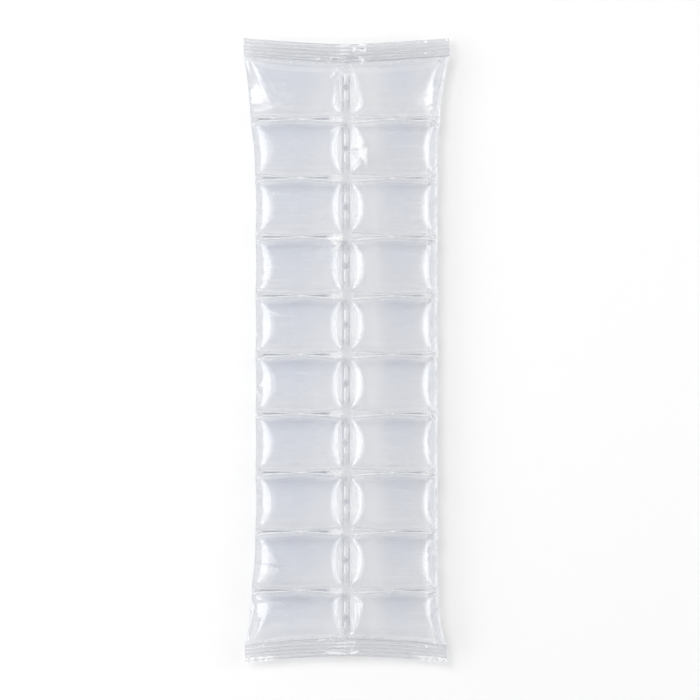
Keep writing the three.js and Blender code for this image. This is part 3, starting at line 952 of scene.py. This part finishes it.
def water_tint(x, y, half, name, cell):
    """How strongly the water of a cell is tinted at each point of its upper side, with painted shade towards
    the head of the cell and painted light beside the spine and the right fold.
    """
    up = (y - CELL_MIDDLES[cell]) / (CELL_PITCH / 2)
    by_spine = np.exp(-((np.abs(x) - SPINE_TINT.place) / SPINE_TINT.width) ** 2)
    by_fold = np.clip((np.abs(x) - FOLD_TINT.start) / FOLD_TINT.soft, 0, 1)
    # Painted light: less tint beside the spine and the right fold
    painted_lightening = BESIDE_SPINE[name] * by_spine + BESIDE_FOLD[name] * by_fold
    tint = np.clip(TINT_MIDDLE[name] + HEAD_SHADE_TINT * up - painted_lightening, 0, 1)
    return np.clip(half / CROWN, 0, 1) * tint


def make_water(grid, material):
    """The water in every cell, numbered from the head of the bag."""
    lanes = grid["x"].shape[1]
    middle = lanes // 2
    columns = {"left": slice(1, middle - SPINE_STEPS + 1), "right": slice(middle + SPINE_STEPS, lanes - 1)}
    for name, column in columns.items():
        for cell in range(CELL_ROWS):
            picked = (grid["kind"][:, 0] == CELL) & (grid["number"][:, 0] == cell)
            x, y, top, bottom = (grid[key][picked][:, column] for key in ("x", "y", "top", "bottom"))
            points, faces, half = water_body(x, y, top, bottom)
            number = CELL_ROWS - cell
            piece = mesh_object(f"water_{name}_{number:02d}_fill", points, faces, material)
            tint_with_shade_and_light = water_tint(x, y, half, name, cell)
            paint(piece, "tint_with_shade_and_light", np.vstack([tint_with_shade_and_light, tint_with_shade_and_light]))
            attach(piece, "root")
            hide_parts(f"water_{name}_{number:02d}")


def put(tree, value, socket):
    """Gives a socket a plain value, or the output of another node."""
    if isinstance(value, bpy.types.NodeSocket):
        tree.links.new(value, socket)
    else:
        socket.default_value = value


def map_range(tree, value, from_min, from_max, to_min, to_max):
    """A value moved from one range to another."""
    node = tree.nodes.new("ShaderNodeMapRange")
    settings = (("From Min", from_min), ("From Max", from_max), ("To Min", to_min), ("To Max", to_max))
    for name, number in settings:
        node.inputs[name].default_value = number
    tree.links.new(value, node.inputs["Value"])
    return node.outputs["Result"]


def noise(tree, look, to_min, to_max):
    """Noise fixed to the object, with the span that counts mapped to two values."""
    place = tree.nodes.new("ShaderNodeTexCoord")
    node = tree.nodes.new("ShaderNodeTexNoise")
    node.inputs["Scale"].default_value = look.scale
    node.inputs["Detail"].default_value = look.detail
    tree.links.new(place.outputs["Object"], node.inputs["Vector"])
    return map_range(tree, node.outputs["Fac"], look.low, look.high, to_min, to_max)


def mix_shader(tree, share, first, second):
    """A mix of two shaders."""
    node = tree.nodes.new("ShaderNodeMixShader")
    put(tree, share, node.inputs[0])
    put(tree, first, node.inputs[1])
    put(tree, second, node.inputs[2])
    return node.outputs[0]


def mix_colour(tree, share, first, second):
    """A mix of two colours, which are plain or come from other nodes."""
    node = tree.nodes.new("ShaderNodeMix")
    node.data_type = "RGBA"
    put(tree, share, node.inputs["Factor"])
    put(tree, first, node.inputs["A"])
    put(tree, second, node.inputs["B"])
    return node.outputs["Result"]


def two_values(tree, operation, first, second):
    """The result of an operation on two values."""
    node = tree.nodes.new("ShaderNodeMath")
    node.operation = operation
    put(tree, first, node.inputs[0])
    put(tree, second, node.inputs[1])
    return node.outputs[0]


def plain_shader(tree, kind, colour):
    """A shader of one kind in a plain colour or one from another node."""
    node = tree.nodes.new(kind)
    put(tree, colour, node.inputs["Color"])
    return node


def mark_value(tree, name):
    """A value that is stored on the points of the mesh."""
    node = tree.nodes.new("ShaderNodeAttribute")
    node.attribute_name = name
    return node.outputs["Fac"]


def new_material(name):
    """An empty material and its node tree."""
    material = bpy.data.materials.new(name)
    material.use_nodes = True
    material.node_tree.nodes.clear()
    return material, material.node_tree


def finish_material(tree, shader):
    """Makes a shader the surface of its material."""
    out = tree.nodes.new("ShaderNodeOutputMaterial")
    tree.links.new(shader, out.inputs["Surface"])


def film_material(name, shine):
    """Thin clear film. At a slant it passes less light and mirrors more. The white marks are hazy film and
    painted highlights and light; the dark marks are darker film and painted shade.
    """
    material, tree = new_material("clear_" + name)
    weight = tree.nodes.new("ShaderNodeLayerWeight")
    weight.inputs["Blend"].default_value = SLANT.blend
    facing = weight.outputs["Facing"]
    slant_dark = map_range(tree, facing, SLANT.start, SLANT.stop, 0.0, SLANT.dark)
    dark = two_values(tree, "MAXIMUM", slant_dark, mark_value(tree, "dark"))
    clear = plain_shader(tree, "ShaderNodeBsdfTransparent", mix_colour(tree, dark, CLEAR_FILM, DARK_FILM))

    gloss = tree.nodes.new("ShaderNodeBsdfGlossy")
    put(tree, noise(tree, GLOSS_NOISE, *FILM_ROUGHNESS), gloss.inputs["Roughness"])
    slant = two_values(tree, "POWER", facing, SLANT.mirror_power)
    mirror = map_range(tree, slant, 0.0, 1.0, shine, SLANT.mirror)
    film = mix_shader(tree, mirror, clear.outputs[0], gloss.outputs[0])

    milky_and_highlight = plain_shader(tree, "ShaderNodeBsdfDiffuse", MILKY_AND_HIGHLIGHT_FILM)
    glow = plain_shader(tree, "ShaderNodeBsdfTranslucent", MILKY_AND_HIGHLIGHT_GLOW)
    white_marks_shader = mix_shader(tree, GLOW_SHARE, milky_and_highlight.outputs[0], glow.outputs[0])
    finish_material(tree, mix_shader(tree, mark_value(tree, "white"), film, white_marks_shader))
    return material


def water_material():
    """Water against the film, with a faint blue-grey tint that drifts from place to place."""
    material, tree = new_material("water")
    tint = mix_colour(tree, noise(tree, WATER_NOISE, 0.0, 1.0), *WATER_TINTS)
    # The painted value holds the water's tint with its painted shade and painted light
    tint_with_shade_and_light = map_range(tree, mark_value(tree, "tint_with_shade_and_light"), 0.0, FULL_DEPTH, 0.0, 1.0)
    clear = plain_shader(tree, "ShaderNodeBsdfTransparent", mix_colour(tree, tint_with_shade_and_light, WHITE, tint))
    finish_material(tree, clear.outputs[0])
    return material


def floor_material():
    """Matt white near the bag, and plain white for the background far from it."""
    material, tree = new_material("white_floor")
    material.cycles.emission_sampling = "NONE"
    near = tree.nodes.new("ShaderNodeBsdfPrincipled")
    near.inputs["Base Color"].default_value = FLOOR_COLOUR
    near.inputs["Roughness"].default_value = FLOOR_ROUGHNESS
    near.inputs["Specular IOR Level"].default_value = 0.0
    far = tree.nodes.new("ShaderNodeEmission")
    place = tree.nodes.new("ShaderNodeTexCoord")
    distance = tree.nodes.new("ShaderNodeVectorMath")
    distance.operation = "LENGTH"
    tree.links.new(place.outputs["Object"], distance.inputs[0])
    away = map_range(tree, distance.outputs["Value"], NEAR_FLOOR, FAR_FLOOR, 0.0, 1.0)
    seen = tree.nodes.new("ShaderNodeLightPath").outputs
    background = two_values(tree, "MAXIMUM", seen["Is Camera Ray"], seen["Is Glossy Ray"])
    background = two_values(tree, "MAXIMUM", background, seen["Is Transmission Ray"])
    share = two_values(tree, "MULTIPLY", away, background)
    finish_material(tree, mix_shader(tree, share, near.outputs[0], far.outputs[0]))
    return material


def make_floor():
    """The white ground under the bag."""
    bpy.ops.mesh.primitive_plane_add(size=FLOOR_SIZE, location=(0, 0, FLOOR_HEIGHT))
    floor = bpy.context.object
    floor.name = "floor"
    floor.data.materials.append(floor_material())


def area_light(name, place, width, height, power):
    """A rectangular lamp that faces the bag."""
    data = bpy.data.lights.new(name, "AREA")
    data.shape = "RECTANGLE"
    data.size = width
    data.size_y = height
    data.energy = power
    light = bpy.data.objects.new(name, data)
    light.location = place
    light.rotation_euler = (-Vector(place)).to_track_quat("-Z", "Y").to_euler()
    bpy.context.collection.objects.link(light)
    return light


def make_lights():
    """Lamps round the bag, and a weak even light from all sides."""
    for lamp in LAMPS:
        area_light(*lamp)
    area_light(*UNREFLECTED_LAMP).visible_glossy = False
    world = bpy.data.worlds.new("studio")
    world.use_nodes = True
    background = world.node_tree.nodes["Background"]
    background.inputs["Color"].default_value = WHITE
    background.inputs["Strength"].default_value = WORLD_STRENGTH
    bpy.context.scene.world = world


def make_camera():
    """A camera straight above the bag."""
    data = bpy.data.cameras.new("camera")
    data.lens_unit = "MILLIMETERS"
    data.sensor_width = SENSOR_WIDTH
    data.lens = SENSOR_WIDTH * (CAMERA_PLACE[2] - PICTURE_HEIGHT) / PICTURE_WIDTH
    camera = bpy.data.objects.new("camera", data)
    camera.location = CAMERA_PLACE
    bpy.context.collection.objects.link(camera)
    bpy.context.scene.camera = camera


bpy.context.scene.view_settings.view_transform = "Standard"
bpy.context.scene.cycles.transparent_max_bounces = CLEAR_LAYERS
grid = film_grid()
make_film(grid)
make_water(grid, water_material())
make_floor()
make_lights()
make_camera()
